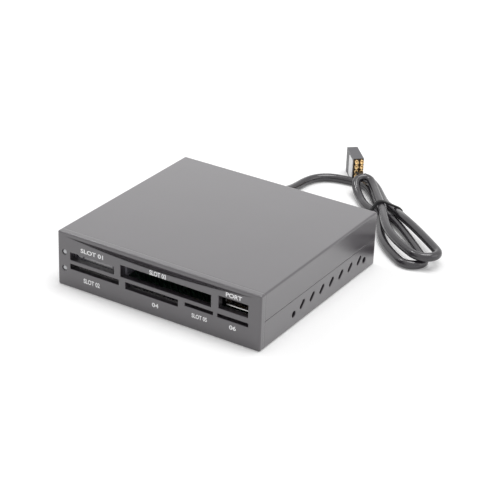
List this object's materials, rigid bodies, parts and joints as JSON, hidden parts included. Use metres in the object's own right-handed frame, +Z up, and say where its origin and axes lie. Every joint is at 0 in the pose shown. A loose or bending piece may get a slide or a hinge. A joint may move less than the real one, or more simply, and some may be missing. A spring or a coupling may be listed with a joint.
{
  "type": "internal card reader",
  "caption": "Flat internal memory card reader for a slim front bay, with a slotted bezel, a data port, side mounting holes, vents and a tied lead that ends in a header plug.",
  "frame": {"origin": "middle of the housing's underside", "axes": "+X to the right seen from the front, +Y from the bezel to the rear, +Z up"},
  "size_m": [0.1317, 0.1796, 0.0254],
  "materials": {
    "housing": "satin moulded dark grey",
    "board": "green solder mask",
    "moulding": "black moulded",
    "sheet": "tinned sheet",
    "contact": "gold plated",
    "lamp": "frosted clear",
    "tin": "tinned wire",
    "chip": "moulded epoxy",
    "can": "drawn can",
    "steel": "zinc plated",
    "wire": "insulation",
    "cream": "natural moulded",
    "jacket": "satin extruded jacket",
    "tie": "black moulded"
  },
  "bodies": {
    "root": {"board_connector": "cream", "board_screws": "steel", "bottom_tray": "housing", "cable_hank": "jacket", "cable_lead": "jacket", "cable_tie": "tie", "capacitors": "can", "case_screws": "steel", "chip_legs": "tin", "chip_resistors": "chip", "connector_pins": "tin", "connector_plug": "cream", "controller_chip": "chip", "crystal": "can", "front_bezel": "housing", "header_plug": "moulding", "inner_lead": "jacket", "inner_wires": "wire", "lamp_leads": "tin", "large_socket_frame": "moulding", "large_socket_pins": "contact", "lead_grommet": "jacket", "lower_lamp": "lamp", "main_board": "board", "plug_contacts": "contact", "plug_wires": "wire", "port_contacts": "contact", "port_insulator": "moulding", "port_shell": "sheet", "regulator": "chip", "short_socket_base": "moulding", "short_socket_contacts": "contact", "short_socket_shield": "sheet", "square_socket_base": "moulding", "square_socket_contacts": "contact", "square_socket_shield": "sheet", "stick_socket_base": "moulding", "stick_socket_contacts": "contact", "stick_socket_shield": "sheet", "thin_socket_base": "moulding", "thin_socket_contacts": "contact", "thin_socket_shield": "sheet", "tiny_socket_base": "moulding", "tiny_socket_contacts": "contact", "tiny_socket_shield": "sheet", "top_cover": "housing", "upper_lamp": "lamp"}
  },
  "joints": []
}
